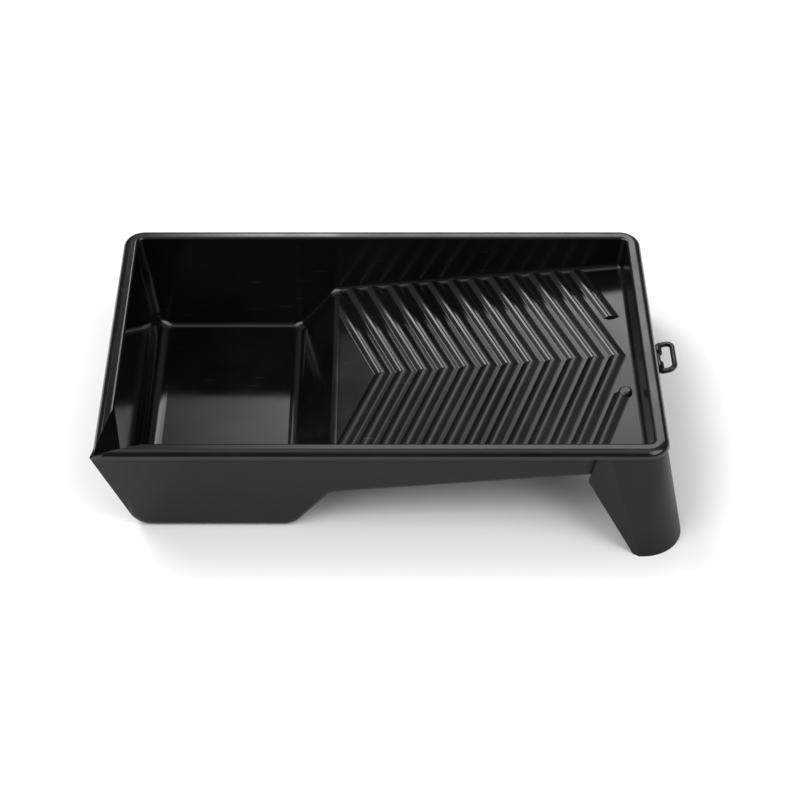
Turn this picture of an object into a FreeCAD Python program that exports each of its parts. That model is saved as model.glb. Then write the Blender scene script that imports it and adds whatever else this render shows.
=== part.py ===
import FreeCAD, Part
import math
import os

Vector = FreeCAD.Vector

# A paint roller tray: a deep well at one end, a ribbed ramp that rises to the
# other end, a rolled rim all round, two legs under the shallow end and a
# swinging loop to hang it by.
#
# Millimetres.  The origin is the middle of the flat underside of the well.
# +X runs along the tray to the shallow end, +Y to the back long side and +Z up.

# ---- rim --------------------------------------------------------------------
rim_length = 420.0            # over the rolled rim, deep end to shallow end
rim_width = 268.4             # over the rolled rim, long side to long side
rim_height = 89.0             # top of the rim above the standing plane
rim_centre_x = 123.5          # middle of the rim, from the middle of the well
rim_band = 11.6               # rim width, outer edge to the mouth
rim_corner_radius = 17.0
spout_corner_radius = 4.5     # the rim is nearly square at the spout
rim_edge_round = 5.5          # rounding along the outer top edge
mouth_edge_round = 2.2        # rounding where the rim turns into the walls
rim_roof = 2.3                # thickness of the rim's flat top
lip_thickness = 1.9
lip_depth = 5.9               # rim top to the lower edge of the lip
channel_round = 2.2           # inside the rim, between its roof and its lip

# ---- basin ------------------------------------------------------------------
wall = 2.3                    # wall and floor thickness
side_draft = 3.8              # degrees, long walls from upright
deep_end_draft = 7.5          # degrees
shallow_end_draft = 4.0       # degrees
floor_left_x = -63.5          # inner floor, where the deep end wall would meet it
floor_right_x = 56.2          # inner floor, where the step would meet it
step_top_x = 84.7             # inner top of the step, where the ramp starts
step_top_z = 37.6
ramp_slope = 5.7              # degrees, rising to the shallow end
deep_end_round = 16.0         # inner radius, deep end wall to floor
step_foot_round = 14.0        # inner radius, floor to step
step_top_round = 12.0         # inner radius, step to ramp
ramp_end_round = 2.5          # inner radius, ramp to shallow end wall
inner_side_round = 5.0        # inner radius, floor and ramp to the long walls
outer_side_round = 6.0        # the same corner outside

# ---- chevron ribs on the ramp -----------------------------------------------
# Each rib is a low wave: steep toward the well, long and hollow toward the end.
rib_count = 12
rib_pitch = 16.75             # along the tray
rib_lean = 20.75              # degrees, each half from square across the tray
rib_height = 2.1              # above the ramp, at the crest
rib_shoulder_height = 1.85    # where the crest turns down into the long side
rib_steep_run = 4.2           # these three runs are along the tray
rib_crest_run = 4.3
rib_long_run = 4.1
rib_crest_round = 5.0
rib_shoulder_round = 8.0
rib_steep_root_round = 1.5
rib_long_root_round = 6.0
rib_skirt = 3.0               # flat foot beyond each side, sunk in the ramp
rib_axis_y = 8.6              # the points of the chevrons lie on this line
last_rib_x = 302.2            # foot of the last full chevron's steep side, at its point
rib_start_x = 88.5            # ribs are cut off square here, above the step
broken_rib_far_y = 56.0       # inner end of the broken outermost rib, far half
broken_rib_near_y = -34.5     # the same, near half: it ends in a round boss
boss_radius = 5.2
boss_height = 2.9
boss_round = 2.0
boss_offset = 8.5             # along the tray, from the foot of the steep side

# ---- pour spout in the front corner of the deep end -------------------------
spout_side_reach = 52.6       # along the deep end, from the outer corner
spout_front_reach = 42.0      # along the front, from the outer corner
spout_foot_depth = 75.0       # the chute's point, below the rim
spout_lip_drop = 5.5          # the chute leaves the rim this far below its top
spout_foot_inset = 1.5        # keeps the chute's point within the rounded corner
spout_shell = (-1.6, -1.6, -2.0)  # the chute's outer skin, moved from its inner
skin_drop = 0.1               # the skin stops this far below the mouth's rounding

# ---- legs -------------------------------------------------------------------
leg_wall = 2.2
foot_flare_x = 14.8           # foot stands out past the rim, shallow end
foot_flare_y = 16.3           # foot stands out past the rim, long side
leg_waist_z = 52.0            # where the bevels leave the pan's underside
# Each section of a leg: corner radius, face length, bevel run, bevel depth.
leg_top = (15.0, 42.6, 7.8, 4.6)
leg_waist = (21.7, 39.3, 22.6, 13.3)
leg_foot = (31.0, 33.8, 4.4, 2.6)
sole_margin = 1.0             # the sole's cut edge, clear of the walls' ends
leg_fit = 0.05                # gap between the leg's tongue and the rim
tongue_drop = 0.5             # the tongue runs straight to this far below the lip
hollow_overrun = 1.5          # how far past the bevel's tip the hollow runs, in bevels
tongue_chamfer = 2.0          # along the tongue's top, clear of the rim's channel
snap_length = 24.0            # snap bead along each straight of the tongue
snap_start = 16.0             # from the tongue's corner to the bead
snap_height = 0.8
snap_lift = 0.6               # lower edge of the lip to the bead
snap_reach = 0.7
snap_root = 0.3               # the bead's body goes this deep into the tongue
snap_clearance = 0.1

# ---- hanging loop -----------------------------------------------------------
loop_axis_x = 338.0           # pivot bar of the loop
loop_axis_z = 64.5
loop_bar = 4.2                # bar diameter
loop_length = 30.8            # across the tray, bar centre to bar centre
loop_reach = 12.0             # pivot bar to outer bar, centre to centre
loop_pivot_round = 3.0
loop_outer_round = 5.5
loop_rest_tilt = 15.0         # degrees, the loop stands this far above level
loop_running_gap = 0.06       # radial, bar in its clips
clip_spacing = 18.0
clip_width = 5.0
clip_eye_radius = 3.8
clip_mouth = 3.4              # the bar snaps in through this gap
clip_arm_height = 4.4
clip_arm_root = 3.0           # the arm goes this deep into the end wall

# ---- worked out -------------------------------------------------------------
rim_left = rim_centre_x - rim_length / 2
rim_right = rim_centre_x + rim_length / 2
mouth_left = rim_left + rim_band
mouth_right = rim_right - rim_band
mouth_half_width = rim_width / 2 - rim_band
lip_bottom = rim_height - lip_depth
slope = math.tan(math.radians(ramp_slope))
side_slope = math.tan(math.radians(side_draft))
above = 12.0                  # how far cutting tools stand above the rim
overlap = 1.0                 # how far joined shapes and cutting tools run past a face
near = 0.01                   # two places this close are the same
tolerance = 0.001


def tan_deg(angle):
    return math.tan(math.radians(angle))


def round_corner(before, corner, after, radius):
    """Start, middle and end of the arc that rounds one corner of an outline."""
    back = (before - corner).normalize()
    ahead = (after - corner).normalize()
    half_angle = back.getAngle(ahead) / 2
    reach = radius / math.tan(half_angle)
    start = corner + back * reach
    end = corner + ahead * reach
    inward = (back + ahead).normalize()
    middle = corner + inward * (radius / math.sin(half_angle) - radius)
    return start, middle, end


def rounded_outline(points, radii):
    """A closed wire through the points, each corner rounded by its radius."""
    count = len(points)
    edges = []
    joins = []
    for i in range(count):
        if radii[i] > 0:
            arc = round_corner(points[i - 1], points[i], points[(i + 1) % count], radii[i])
            joins.append((arc[0], arc[2], Part.Arc(*arc).toShape()))
        else:
            joins.append((points[i], points[i], None))
    for i in range(count):
        if joins[i][2]:
            edges.append(joins[i][2])
        edges.append(Part.makeLine(joins[i][1], joins[(i + 1) % count][0]))
    return Part.Wire(edges)


def shift_line(start, end, distance):
    """The line start-end in the XZ plane, moved sideways to its right."""
    along = (end - start).normalize()
    sideways = Vector(along.z, 0, -along.x) * distance
    return start + sideways, end + sideways


def crossing(line_a, line_b):
    """Where two lines in the XZ plane cross."""
    start_a, end_a = line_a
    start_b, end_b = line_b
    run_a = end_a - start_a
    run_b = end_b - start_b
    gap = start_b - start_a
    share = (gap.x * run_b.z - gap.z * run_b.x) / (run_a.x * run_b.z - run_a.z * run_b.x)
    return start_a + run_a * share


def offset_path(points, distance):
    """An open path in the XZ plane, moved to the right of its own direction."""
    lines = [shift_line(a, b, distance) for a, b in zip(points, points[1:])]
    middle = [crossing(a, b) for a, b in zip(lines, lines[1:])]
    return [lines[0][0]] + middle + [lines[-1][1]]


def half_width(z, grow):
    """Half the distance between the long walls at one height."""
    return mouth_half_width + grow - (rim_height - z) * side_slope


def basin(grow, side_round):
    """The basin as one solid block, its faces moved outward by grow."""
    top_z = rim_height + above
    deep_run = tan_deg(deep_end_draft)
    shallow_run = tan_deg(shallow_end_draft)
    step_top = Vector(step_top_x, 0, step_top_z)
    mouth_end = Vector(mouth_right, 0, rim_height)
    ramp_end = crossing(
        (step_top, step_top + Vector(1, 0, slope)),
        (mouth_end, mouth_end - Vector(shallow_run, 0, 1)),
    )
    inner_face = [
        Vector(mouth_left - above * deep_run, 0, top_z),
        Vector(floor_left_x, 0, wall),
        Vector(floor_right_x, 0, wall),
        step_top,
        ramp_end,
        Vector(mouth_right + above * shallow_run, 0, top_z),
    ]
    profile = offset_path(inner_face, grow)
    radii = [
        0,
        deep_end_round + grow,
        step_foot_round + grow,
        step_top_round - grow,
        ramp_end_round + grow,
        0,
    ]
    depth = rim_width
    side_view = Part.Face(rounded_outline(profile, radii))
    side_view.translate(Vector(0, -depth / 2, 0))
    long_block = side_view.extrude(Vector(0, depth, 0))

    start_x = rim_left - above
    section = Part.makePolygon([
        Vector(start_x, -half_width(-above, grow), -above),
        Vector(start_x, half_width(-above, grow), -above),
        Vector(start_x, half_width(top_z, grow), top_z),
        Vector(start_x, -half_width(top_z, grow), top_z),
        Vector(start_x, -half_width(-above, grow), -above),
    ])
    cross_block = Part.Face(section).extrude(Vector(rim_length + 2 * above, 0, 0))
    block = long_block.common(cross_block)
    side_edges = [edge for edge in block.Edges if on_long_wall(edge, grow)]
    return block.makeFillet(side_round, side_edges)


def on_long_wall(edge, grow):
    """True for an edge where a long wall meets the floor, ramp or an end wall."""
    middle = edge.valueAt((edge.FirstParameter + edge.LastParameter) / 2)
    below_top = middle.z < rim_height + above - near
    return below_top and abs(abs(middle.y) - half_width(middle.z, grow)) < near


def plan_block(inset, low_z, high_z, corner_radius, front_deep_radius):
    """An upright block on the rim's outline, moved inward by inset."""
    left = rim_left + inset
    right = rim_right - inset
    side = rim_width / 2 - inset
    outline = rounded_outline(
        [
            Vector(left, -side, low_z),
            Vector(right, -side, low_z),
            Vector(right, side, low_z),
            Vector(left, side, low_z),
        ],
        [front_deep_radius, corner_radius, corner_radius, corner_radius],
    )
    return Part.Face(outline).extrude(Vector(0, 0, high_z - low_z))


def edges_at(shape, z):
    """Edges that lie flat at one height."""
    return [e for e in shape.Edges if all(abs(v.Z - z) < near for v in e.Vertexes)]


def rim():
    """The rolled rim: a flat top with a lip turned down round its outer edge."""
    block = plan_block(0, lip_bottom, rim_height, rim_corner_radius, spout_corner_radius)
    block = block.makeFillet(rim_edge_round, edges_at(block, rim_height))
    roof_z = rim_height - rim_roof
    channel = plan_block(
        lip_thickness,
        lip_bottom - overlap,
        roof_z,
        rim_corner_radius - lip_thickness,
        spout_corner_radius - lip_thickness,
    )
    channel = channel.makeFillet(channel_round, edges_at(channel, roof_z))
    return block.cut(channel)


def spout_chute(step):
    """A three-sided pyramid standing on its point, moved by step."""
    foot_z = rim_height - spout_foot_depth
    foot = Vector(
        mouth_left + spout_foot_depth * tan_deg(deep_end_draft) + spout_foot_inset,
        -half_width(foot_z, 0) + spout_foot_inset,
        foot_z,
    )
    on_end = Vector(mouth_left, -rim_width / 2 + spout_side_reach, rim_height)
    on_front = Vector(rim_left + spout_front_reach, -mouth_half_width, rim_height)
    lip = Vector(
        rim_left + lip_thickness, -rim_width / 2 + lip_thickness / 2, rim_height - spout_lip_drop
    )
    tall = rim_height + above - foot_z
    tops = [foot + (p - foot) * (tall / (p.z - foot_z)) for p in (on_end, on_front, lip)]
    corners = [
        (tops[0], tops[1], tops[2]),
        (foot, tops[0], tops[1]),
        (foot, tops[1], tops[2]),
        (foot, tops[2], tops[0]),
    ]
    faces = [Part.Face(Part.makePolygon([a, b, c, a])) for a, b, c in corners]
    chute = Part.makeSolid(Part.makeShell(faces))
    chute.fix(tolerance, tolerance, tolerance)
    if chute.Volume < 0:
        chute.reverse()
    chute.translate(Vector(*step))
    return chute


def tilt_to_ramp(shape):
    """Lay a shape drawn flat at z = 0 onto the ramp."""
    shape.rotate(Vector(step_top_x, 0, 0), Vector(0, 1, 0), -ramp_slope)
    shape.translate(Vector(0, 0, step_top_z))
    return shape


def rib_section(foot_x):
    """A rib cut along the tray, on the line of the points."""
    crest_x = foot_x + rib_steep_run
    shoulder_x = crest_x + rib_crest_run
    end_x = shoulder_x + rib_long_run
    outline = [
        (foot_x - rib_skirt, -overlap, 0),
        (foot_x - rib_skirt, 0, 0),
        (foot_x, 0, rib_steep_root_round),
        (crest_x, rib_height, rib_crest_round),
        (shoulder_x, rib_shoulder_height, rib_shoulder_round),
        (end_x, 0, rib_long_root_round),
        (end_x + rib_skirt, 0, 0),
        (end_x + rib_skirt, -overlap, 0),
    ]
    points = [Vector(x, rib_axis_y, z) for x, z, radius in outline]
    return Part.Face(rounded_outline(points, [radius for x, z, radius in outline]))


def half_rib(foot_x, first_y, last_y):
    """One side of a chevron, between two lines across the tray."""
    lean = tan_deg(rib_lean)
    from_axis = first_y - rib_axis_y
    along = last_y - first_y
    section = rib_section(foot_x)
    section.translate(Vector(-abs(from_axis) * lean, from_axis, 0))
    return tilt_to_ramp(section.extrude(Vector(-abs(along) * lean, along, 0)))


def boss(foot_x, y):
    """The round end of the broken rib's near half."""
    x = foot_x + boss_offset - abs(y - rib_axis_y) * tan_deg(rib_lean)
    post = Part.makeCylinder(boss_radius, boss_height + overlap, Vector(x, y, -overlap))
    return tilt_to_ramp(post.makeFillet(boss_round, edges_at(post, boss_height)))


def ribs():
    """All the chevrons, and the two halves of the broken outermost one."""
    side = rim_width / 2
    group = []
    for i in range(rib_count):
        foot_x = last_rib_x - i * rib_pitch
        group.append(half_rib(foot_x, rib_axis_y, side))
        group.append(half_rib(foot_x, rib_axis_y, -side))
    broken_x = last_rib_x + rib_pitch
    group.append(half_rib(broken_x, broken_rib_far_y, side))
    group.append(half_rib(broken_x, broken_rib_near_y, -side))
    group.append(boss(broken_x, broken_rib_near_y))
    trimmer = Part.makeBox(
        mouth_right - rib_start_x, rim_width, rim_height,
        Vector(rib_start_x, -rim_width / 2, 0),
    )
    inside = basin(wall / 2, outer_side_round).common(trimmer)
    return [rib.common(inside) for rib in group]


def loop_clips():
    """Two arms from the end wall, each with an open eye for the loop's bar."""
    root_x = mouth_right - clip_arm_root
    clips = []
    for side in (-1, 1):
        y = side * clip_spacing / 2 - clip_width / 2
        arm = Part.makeBox(
            loop_axis_x - root_x, clip_width, clip_arm_height,
            Vector(root_x, y, loop_axis_z - clip_arm_height / 2),
        )
        eye = Part.makeCylinder(
            clip_eye_radius, clip_width, Vector(loop_axis_x, y, loop_axis_z), Vector(0, 1, 0)
        )
        bore = Part.makeCylinder(
            loop_bar / 2 + loop_running_gap, clip_width,
            Vector(loop_axis_x, y, loop_axis_z), Vector(0, 1, 0),
        )
        mouth = Part.makeBox(
            clip_mouth, clip_width, clip_eye_radius + overlap,
            Vector(loop_axis_x - clip_mouth / 2, y, loop_axis_z - clip_eye_radius - overlap),
        )
        clips.append(arm.fuse(eye).cut(bore.fuse(mouth)))
    return clips


def snap_beads(side, clearance):
    """Beads on a leg's tongue, or the pockets for them when given clearance."""
    reach = snap_reach + clearance
    height = snap_height + 2 * clearance
    length = snap_length + 2 * clearance
    low_z = lip_bottom + snap_lift - clearance
    start = snap_start - clearance
    depth = reach + snap_root
    face_x = rim_right - lip_thickness - leg_fit
    face_y = rim_width / 2 - lip_thickness - leg_fit
    along_front = Part.makeBox(
        length, depth, height, Vector(face_x - start - length, -face_y - reach, low_z)
    )
    along_end = Part.makeBox(
        depth, length, height, Vector(face_x - snap_root, -face_y + start, low_z)
    )
    beads = along_front.fuse(along_end)
    return beads if side < 0 else beads.mirror(Vector(0, 0, 0), Vector(0, 1, 0))


def mouth_edges(pan):
    """The edges where the rim's top turns down into the walls."""
    edges = []
    for edge in edges_at(pan, rim_height):
        middle = edge.valueAt((edge.FirstParameter + edge.LastParameter) / 2)
        from_side = rim_width / 2 - abs(middle.y)
        from_end = min(middle.x - rim_left, rim_right - middle.x)
        if min(from_side, from_end) > rim_band - near:
            edges.append(edge)
    return edges


def slab_below(z):
    """Everything the tray could fill below one height."""
    return Part.makeBox(
        rim_length + 2 * above, rim_width + 2 * above, z,
        Vector(rim_left - above, -rim_width / 2 - above, 0),
    )


def tray_pan():
    """Well, ramp, ribs, rim, spout and loop clips: one moulding."""
    outside = basin(wall, outer_side_round).common(slab_below(rim_height))
    cavity = basin(0, inner_side_round)
    pan = outside.fuse([rim()] + loop_clips()).cut(cavity)
    pan = pan.makeFillet(mouth_edge_round, mouth_edges(pan))
    chute_skin = spout_chute(spout_shell).cut(cavity)
    chute_skin = chute_skin.common(slab_below(rim_height - mouth_edge_round - skin_drop))
    pan = pan.fuse(chute_skin).cut(spout_chute((0, 0, 0)))
    pan = pan.fuse(ribs())
    for side in (-1, 1):
        pan = pan.cut(snap_beads(side, snap_clearance))
    return pan.removeSplitter()


def leg_section(z, corner, radius, span, run, depth, skin):
    """The leg cut level: two faces meet at a round corner, each ends in a bevel.

    span is a face's length from the corner to its fold.  The bevel beyond the
    fold goes on by run and turns inward by depth.  skin is 0 for the outside,
    or the wall thickness for the hollow, which runs out through the open back.
    """
    reach = hollow_overrun if skin else 1.0
    half_fold = math.atan2(depth, run) / 2
    fold = span - skin * math.tan(half_fold)
    tip = fold + run * reach
    turned = skin + depth * reach
    along_and_back = [
        (tip, turned), (fold, skin), (skin, skin), (skin, fold), (turned, tip), (tip, tip),
    ]
    corner_x, corner_y = corner
    points = [Vector(corner_x - along, corner_y + back, z) for along, back in along_and_back]
    return rounded_outline(points, [0, 0, radius - skin, 0, 0, 0])


def leg_block(skin):
    """The leg's outside, or its hollow, from the rim's channel to the floor."""
    tongue_x = rim_right - lip_thickness - leg_fit
    tongue_y = -rim_width / 2 + lip_thickness + leg_fit
    foot_x = rim_right + foot_flare_x
    foot_y = -rim_width / 2 - foot_flare_y
    top_z = rim_height - rim_roof - leg_fit
    base_z = lip_bottom - tongue_drop
    down = (base_z - leg_waist_z) / base_z
    waist = (tongue_x + (foot_x - tongue_x) * down, tongue_y + (foot_y - tongue_y) * down)
    cut = tongue_chamfer
    radius, span, run, depth = leg_top
    chamfered = (radius - cut, span - cut, run * (1 - cut / depth), depth - cut)
    sections = [
        leg_section(top_z, (tongue_x - cut, tongue_y + cut), *chamfered, skin),
        leg_section(top_z - cut, (tongue_x, tongue_y), *leg_top, skin),
        leg_section(base_z, (tongue_x, tongue_y), *leg_top, skin),
        leg_section(leg_waist_z, waist, *leg_waist, skin),
        leg_section(0, (foot_x, foot_y), *leg_foot, skin),
    ]
    return Part.makeLoft(sections, True, True)


def sole_prism():
    """Where the sole is: a slab with the corner away from the tray's corner cut off."""
    radius, span, run, depth = leg_foot
    reach = span + run + depth + leg_wall + sole_margin
    corner = Vector(rim_right + foot_flare_x, -rim_width / 2 - foot_flare_y, 0)
    outline = [corner, corner - Vector(reach, 0, 0), corner + Vector(0, reach, 0), corner]
    return Part.Face(Part.makePolygon(outline)).extrude(Vector(0, 0, leg_wall))


def leg(side):
    """One leg: a hollow corner shell on a flat sole, clipped up into the rim."""
    outside = leg_block(0)
    shell = outside.cut(leg_block(leg_wall)).fuse(outside.common(sole_prism()))
    shell = shell.fuse(snap_beads(-1, 0)).removeSplitter()
    return shell if side < 0 else shell.mirror(Vector(0, 0, 0), Vector(0, 1, 0))


def hanging_loop():
    """A closed loop of round bar that swings on its inner side."""
    half = loop_length / 2
    path = rounded_outline(
        [
            Vector(loop_axis_x, -half, loop_axis_z),
            Vector(loop_axis_x + loop_reach, -half, loop_axis_z),
            Vector(loop_axis_x + loop_reach, half, loop_axis_z),
            Vector(loop_axis_x, half, loop_axis_z),
        ],
        [loop_pivot_round, loop_outer_round, loop_outer_round, loop_pivot_round],
    )
    first = path.Edges[0]
    start = first.valueAt(first.FirstParameter)
    bar = Part.Wire(Part.makeCircle(loop_bar / 2, start, first.tangentAt(first.FirstParameter)))
    loop = path.makePipeShell([bar], True, True)
    loop.rotate(Vector(loop_axis_x, 0, loop_axis_z), Vector(0, 1, 0), -loop_rest_tilt)
    return loop


def main():
    os.makedirs("parts", exist_ok=True)
    pieces = {
        "tray_pan": tray_pan(),
        "front_leg": leg(-1),
        "rear_leg": leg(1),
        "hanging_loop": hanging_loop(),
    }
    for name, shape in pieces.items():
        solids = shape.Solids
        whole = solids[0] if len(solids) == 1 else Part.makeCompound(solids)
        print(name, len(solids), whole.isValid(), round(whole.Volume), whole.BoundBox)
        whole.exportStep("parts/" + name + ".step")


main()
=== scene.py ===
import math

import bpy
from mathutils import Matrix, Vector


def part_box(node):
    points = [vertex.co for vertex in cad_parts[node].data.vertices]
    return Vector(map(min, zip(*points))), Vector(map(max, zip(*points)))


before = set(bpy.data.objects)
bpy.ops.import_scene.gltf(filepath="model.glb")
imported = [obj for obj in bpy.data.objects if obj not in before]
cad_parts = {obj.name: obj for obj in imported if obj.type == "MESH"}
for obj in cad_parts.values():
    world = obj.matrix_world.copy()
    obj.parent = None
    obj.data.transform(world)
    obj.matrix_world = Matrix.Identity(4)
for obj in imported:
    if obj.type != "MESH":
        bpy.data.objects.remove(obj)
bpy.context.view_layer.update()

# A black paint roller tray on a pale studio floor.  Metres, +X along the tray to
# its shallow end, +Y to the back, +Z up.  The origin is under the middle of the well.

# ---- places on the tray ------------------------------------------------------
RIM_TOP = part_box("tray_pan")[1].z
RIM_MIDDLE = Vector((0.1235, 0.0, RIM_TOP))
SATIN_TOP = RIM_TOP - 0.0062  # the satin outer side ends just under the rim's lip
RAMP_START = (0.080, 0.096)   # along the tray, where the well turns to the ramp

# ---- camera -----------------------------------------------------------------
CAMERA_ELEVATION = math.radians(40)
CAMERA_DISTANCE = 1.639
CAMERA_LENS = 96.12           # mm, on a 36 mm sensor
SENSOR_WIDTH = 36.0
CAMERA_SHIFT = (0.0225, -0.0751)
AIM_FORWARD = 0.0064          # the camera aims this far in front of the rim's middle

# ---- studio -----------------------------------------------------------------
FLOOR_SIZE = 12.0             # metres across
FLOOR_GREY = 0.80
FLOOR_ROUGHNESS = 0.9
SURROUND = 0.16               # radiance of the room behind the lamps
OVERHEAD = 1.2                # radiance that the ceiling adds straight above
CEILING_EDGE = (45.0, 88.0)   # degrees of elevation over which it brightens
# Each panel of light: compass bearing from straight back, positive to the right,
# and elevation, as (dark, bright, bright, dark) in degrees, then its radiance.
PANELS = (
    ((-6, 0, 24, 38), (34, 37, 38.5, 45), 4.8),
    ((-11, -4, 10, 18), (34, 37, 52, 62), 1.3),
    ((-8, -5, -3, 0), (34, 36, 37, 39.4), 5.0),
    ((-84, -66, -30, -20), (34, 38.5, 58, 68), 9.5),
    ((-162, -146, -106, -90), (18, 28, 62, 74), 4.4),
    ((90, 106, 146, 162), (18, 28, 62, 74), 4.4),
)

# ---- plastic ----------------------------------------------------------------
# One black plastic: smooth in the well, rougher on the ramp, satin outside.
IOR = 1.5
# Each piece's roughness in the well, on the ramp and on the satin outer side.
PAN_ROUGHNESS = (0.08, 0.15, 0.42)
LEG_ROUGHNESS = (0.42, 0.42, 0.42)
LOOP_ROUGHNESS = (0.2, 0.2, 0.2)
SMOOTH_GLOSS = 0.5            # strength of the plain reflection, smooth and satin side
SATIN_GLOSS = 0.31
DARK_TONE = (0.0016, 0.0016, 0.0017)
PALE_TONE = (0.0042, 0.0042, 0.0044)
WORN_TONE = (0.016, 0.016, 0.016)
# Each noise: patches per metre, as one number or one for each axis, then detail.
TONE_NOISE = (9.0, 4.0)
HAZE_NOISE = (26.0, 5.0)
SCUFF_NOISE = ((30.0, 420.0, 420.0), 3.0)
FLOW_NOISE = (16.0, 1.0)
GRAIN_NOISE = (1400.0, 2.0)
TONE_RANGE = (0.35, 0.65)     # noise values over which each effect comes in
HAZE_RANGE = (0.35, 0.70)
SCUFF_RANGE = (0.66, 0.74)
FLOW_DEPTH = 0.00004          # metres, slow waves in the surface
GRAIN_DEPTH = 0.00002         # metres, fine grain of the satin side
HAZE = 0.05                   # how much the roughness wanders
SCUFF_ROUGHNESS = 0.16
EDGE_RADIUS = 0.0007          # edges are rubbed over about this width
EDGE_SAMPLES = 4
EDGE_RANGE = (0.99, 0.80)     # how far the rounded normal agrees with the true one
EDGE_ROUGHNESS = 0.12


def place_camera():
    """The camera stands in front of the tray and looks down at its rim."""
    aim = RIM_MIDDLE - Vector((0, AIM_FORWARD, 0))
    data = bpy.data.cameras.new("camera")
    data.sensor_width = SENSOR_WIDTH
    data.lens = CAMERA_LENS
    data.shift_x, data.shift_y = CAMERA_SHIFT
    camera = bpy.data.objects.new("camera", data)
    bpy.context.scene.collection.objects.link(camera)
    back = Vector((0, -math.cos(CAMERA_ELEVATION), math.sin(CAMERA_ELEVATION)))
    camera.location = aim + back * CAMERA_DISTANCE
    camera.rotation_euler = (math.pi / 2 - CAMERA_ELEVATION, 0, 0)
    bpy.context.scene.camera = camera


def put(tree, socket, value):
    """Give a socket a number, a colour or another node's output."""
    if isinstance(value, bpy.types.NodeSocket):
        tree.links.new(value, socket)
    else:
        socket.default_value = value


def math_node(tree, operation, first, second=0.0):
    """A math node on two sockets or numbers."""
    node = tree.nodes.new("ShaderNodeMath")
    node.operation = operation
    put(tree, node.inputs[0], first)
    put(tree, node.inputs[1], second)
    return node.outputs[0]


def remap(tree, value, low, high, to_low=0.0, to_high=1.0):
    """to_low where value is at low, to_high where it is at high, smooth between."""
    node = tree.nodes.new("ShaderNodeMapRange")
    node.interpolation_type = "SMOOTHSTEP"
    put(tree, node.inputs["Value"], value)
    put(tree, node.inputs["From Min"], low)
    put(tree, node.inputs["From Max"], high)
    put(tree, node.inputs["To Min"], to_low)
    put(tree, node.inputs["To Max"], to_high)
    return node.outputs["Result"]


def window(tree, angle, edges):
    """1 inside a range of angles and 0 outside it, with soft edges."""
    dark_low, bright_low, bright_high, dark_high = (math.radians(edge) for edge in edges)
    rise = remap(tree, angle, dark_low, bright_low)
    fall = remap(tree, angle, dark_high, bright_high)
    return math_node(tree, "MULTIPLY", rise, fall)


def studio_world():
    """A dim room with panels of light, as a background."""
    world = bpy.data.worlds.new("studio")
    bpy.context.scene.world = world
    world.use_nodes = True
    tree = world.node_tree
    tree.nodes.clear()
    output = tree.nodes.new("ShaderNodeOutputWorld")
    background = tree.nodes.new("ShaderNodeBackground")
    direction = tree.nodes.new("ShaderNodeSeparateXYZ")
    coordinates = tree.nodes.new("ShaderNodeTexCoord")
    tree.links.new(coordinates.outputs["Generated"], direction.inputs[0])
    tree.links.new(background.outputs[0], output.inputs[0])
    right, back, up = direction.outputs
    bearing = math_node(tree, "ARCTAN2", right, back)
    elevation = math_node(tree, "ARCSINE", up)
    low, high = (math.radians(edge) for edge in CEILING_EDGE)
    ceiling = remap(tree, elevation, low, high, 0.0, OVERHEAD)
    light = math_node(tree, "ADD", ceiling, SURROUND)
    for bearings, elevations, radiance in PANELS:
        across = window(tree, bearing, bearings)
        upward = window(tree, elevation, elevations)
        panel = math_node(tree, "MULTIPLY", across, upward)
        lit = math_node(tree, "MULTIPLY", panel, radiance)
        light = math_node(tree, "ADD", light, lit)
    tree.links.new(light, background.inputs["Strength"])


def floor():
    """A plain pale floor, part of the stage and not of the tray."""
    mesh = bpy.data.meshes.new("floor")
    half = FLOOR_SIZE / 2
    corners = [(-half, -half, 0), (half, -half, 0), (half, half, 0), (-half, half, 0)]
    mesh.from_pydata(corners, [], [(0, 1, 2, 3)])
    plane = bpy.data.objects.new("floor", mesh)
    bpy.context.scene.collection.objects.link(plane)
    material = bpy.data.materials.new("floor")
    material.use_nodes = True
    shader = material.node_tree.nodes["Principled BSDF"]
    shader.inputs["Base Color"].default_value = (FLOOR_GREY, FLOOR_GREY, FLOOR_GREY, 1)
    shader.inputs["Roughness"].default_value = FLOOR_ROUGHNESS
    shader.inputs["Specular IOR Level"].default_value = 0.0
    mesh.materials.append(material)


def noise(tree, position, scale, detail):
    """Noise around 0.5, with scale as one number or one for each axis."""
    node = tree.nodes.new("ShaderNodeTexNoise")
    node.inputs["Detail"].default_value = detail
    if isinstance(scale, tuple):
        stretch = tree.nodes.new("ShaderNodeVectorMath")
        stretch.operation = "MULTIPLY"
        stretch.inputs[1].default_value = scale
        tree.links.new(position, stretch.inputs[0])
        position = stretch.outputs[0]
        scale = 1.0
    node.inputs["Scale"].default_value = scale
    tree.links.new(position, node.inputs["Vector"])
    return node.outputs[0]


def mix_colours(tree, share, first, second):
    """A blend of two colours: the first where share is 0, the second where it is 1."""
    node = tree.nodes.new("ShaderNodeMix")
    node.data_type = "RGBA"
    put(tree, node.inputs["Factor"], share)
    sockets = [socket for socket in node.inputs if socket.type == "RGBA"]
    for socket, colour in zip(sockets, (first, second)):
        put(tree, socket, (*colour, 1.0) if isinstance(colour, tuple) else colour)
    return next(socket for socket in node.outputs if socket.type == "RGBA")


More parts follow.
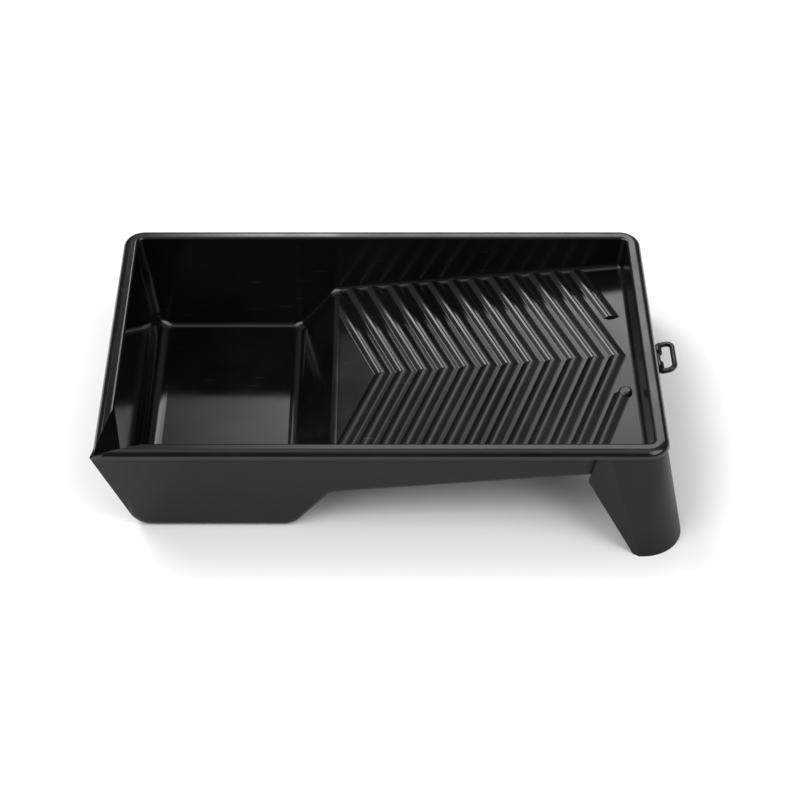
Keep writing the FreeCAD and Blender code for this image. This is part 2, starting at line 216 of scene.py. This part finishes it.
def satin_side(tree, position, normal):
    """1 on the outer side of the tray below its rim, 0 inside and on the rim."""
    from_middle = tree.nodes.new("ShaderNodeVectorMath")
    from_middle.operation = "SUBTRACT"
    from_middle.inputs[1].default_value = RIM_MIDDLE
    tree.links.new(position, from_middle.inputs[0])
    facing = tree.nodes.new("ShaderNodeVectorMath")
    facing.operation = "DOT_PRODUCT"
    tree.links.new(normal, facing.inputs[0])
    tree.links.new(from_middle.outputs[0], facing.inputs[1])
    outward = math_node(tree, "GREATER_THAN", facing.outputs["Value"], 0.0)
    height = tree.nodes.new("ShaderNodeSeparateXYZ")
    tree.links.new(position, height.inputs[0])
    below = math_node(tree, "LESS_THAN", height.outputs["Z"], SATIN_TOP)
    return math_node(tree, "MULTIPLY", outward, below)


def ramp_side(tree, position):
    """1 over the ramp, 0 over the well."""
    along = tree.nodes.new("ShaderNodeSeparateXYZ")
    tree.links.new(position, along.inputs[0])
    return remap(tree, along.outputs["X"], *RAMP_START)


def rubbed_edges(tree, normal):
    """1 along sharp edges, 0 on open faces."""
    bevel = tree.nodes.new("ShaderNodeBevel")
    bevel.samples = EDGE_SAMPLES
    bevel.inputs["Radius"].default_value = EDGE_RADIUS
    agree = tree.nodes.new("ShaderNodeVectorMath")
    agree.operation = "DOT_PRODUCT"
    tree.links.new(bevel.outputs[0], agree.inputs[0])
    tree.links.new(normal, agree.inputs[1])
    return remap(tree, agree.outputs["Value"], *EDGE_RANGE)


def bump(tree, height, depth, normal=None):
    """A normal bent by a height pattern, on top of another normal if one is given."""
    node = tree.nodes.new("ShaderNodeBump")
    put(tree, node.inputs["Height"], height)
    put(tree, node.inputs["Distance"], depth)
    if normal is not None:
        tree.links.new(normal, node.inputs["Normal"])
    return node.outputs[0]


def black_plastic(name, well_roughness, ramp_roughness, satin_roughness):
    """Black moulded plastic, lightly used, rougher on the ramp and outside."""
    material = bpy.data.materials.new(name)
    material.use_nodes = True
    tree = material.node_tree
    shader = tree.nodes["Principled BSDF"]
    shader.inputs["IOR"].default_value = IOR
    position = tree.nodes.new("ShaderNodeTexCoord").outputs["Object"]
    normal = tree.nodes.new("ShaderNodeNewGeometry").outputs["Normal"]

    satin = satin_side(tree, position, normal)
    edges = rubbed_edges(tree, normal)
    tone = remap(tree, noise(tree, position, *TONE_NOISE), *TONE_RANGE)
    haze = remap(tree, noise(tree, position, *HAZE_NOISE), *HAZE_RANGE)
    scuffs = remap(tree, noise(tree, position, *SCUFF_NOISE), *SCUFF_RANGE)
    scuffs = math_node(tree, "MULTIPLY", scuffs, haze)

    colour = mix_colours(tree, tone, DARK_TONE, PALE_TONE)
    wear = math_node(tree, "MAXIMUM", edges, scuffs)
    colour = mix_colours(tree, wear, colour, WORN_TONE)
    tree.links.new(colour, shader.inputs["Base Color"])

    ramp = ramp_side(tree, position)
    inside_roughness = remap(tree, ramp, 0.0, 1.0, well_roughness, ramp_roughness)
    roughness = remap(tree, satin, 0.0, 1.0, inside_roughness, satin_roughness)
    for layer, amount in ((haze, HAZE), (scuffs, SCUFF_ROUGHNESS), (edges, EDGE_ROUGHNESS)):
        added = math_node(tree, "MULTIPLY", layer, amount)
        roughness = math_node(tree, "ADD", roughness, added)
    tree.links.new(roughness, shader.inputs["Roughness"])
    gloss = remap(tree, satin, 0.0, 1.0, SMOOTH_GLOSS, SATIN_GLOSS)
    tree.links.new(gloss, shader.inputs["Specular IOR Level"])

    waves = bump(tree, noise(tree, position, *FLOW_NOISE), FLOW_DEPTH)
    grain_depth = remap(tree, satin, 0.0, 1.0, 0.0, GRAIN_DEPTH)
    grain = bump(tree, noise(tree, position, *GRAIN_NOISE), grain_depth, waves)
    tree.links.new(grain, shader.inputs["Normal"])
    return material


def dress(frame_nodes):
    """Give every piece its plastic."""
    pan = black_plastic("black_plastic_pan", *PAN_ROUGHNESS)
    legs = black_plastic("black_plastic_legs", *LEG_ROUGHNESS)
    loop = black_plastic("black_plastic_loop", *LOOP_ROUGHNESS)
    plastics = {"tray_pan": pan, "front_leg": legs, "rear_leg": legs, "hanging_loop": loop}
    for name, node in frame_nodes.items():
        for slot in node.material_slots:
            slot.material = plastics[name]


dress(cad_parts)
place_camera()
studio_world()
floor()
bpy.context.scene.view_settings.view_transform = "Standard"
